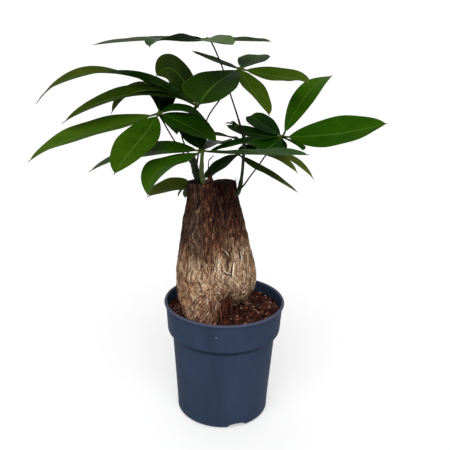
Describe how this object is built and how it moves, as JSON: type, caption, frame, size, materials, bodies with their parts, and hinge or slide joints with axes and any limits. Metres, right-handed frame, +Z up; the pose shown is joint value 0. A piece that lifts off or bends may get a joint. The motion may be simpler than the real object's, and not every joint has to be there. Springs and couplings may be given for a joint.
{
  "type": "potted money tree",
  "caption": "Young money tree with a swollen forked stump and palmate leaves, in soil in a round plastic nursery pot.",
  "frame": {"origin": "centre of the pot's flat base, on the surface that it stands on", "axes": "+Z up, +X to the right and -Y towards the viewer, as in the picture"},
  "size_m": [0.3198, 0.2077, 0.3736],
  "materials": {
    "pot_plastic": "matte",
    "soil": "matte",
    "bark": "matte",
    "green_shoot": "satin",
    "pale_shoot": "satin",
    "leaf": "satin",
    "young_leaf": "satin"
  },
  "bodies": {
    "root": {"pot": "pot_plastic", "soil": "soil", "trunk": "bark", "shoot_left": "green_shoot", "shoot_front": "pale_shoot", "shoot_right": "green_shoot", "leaf_top": "leaf", "leaf_upper_right": "leaf", "leaf_right": "leaf", "leaf_front": "leaf", "leaf_left": "leaf", "leaf_upper_left": "leaf", "leaf_low_right": "leaf", "leaf_low_left": "leaf", "leaf_young": "young_leaf", "leaf_back": "leaf"}
  },
  "joints": []
}
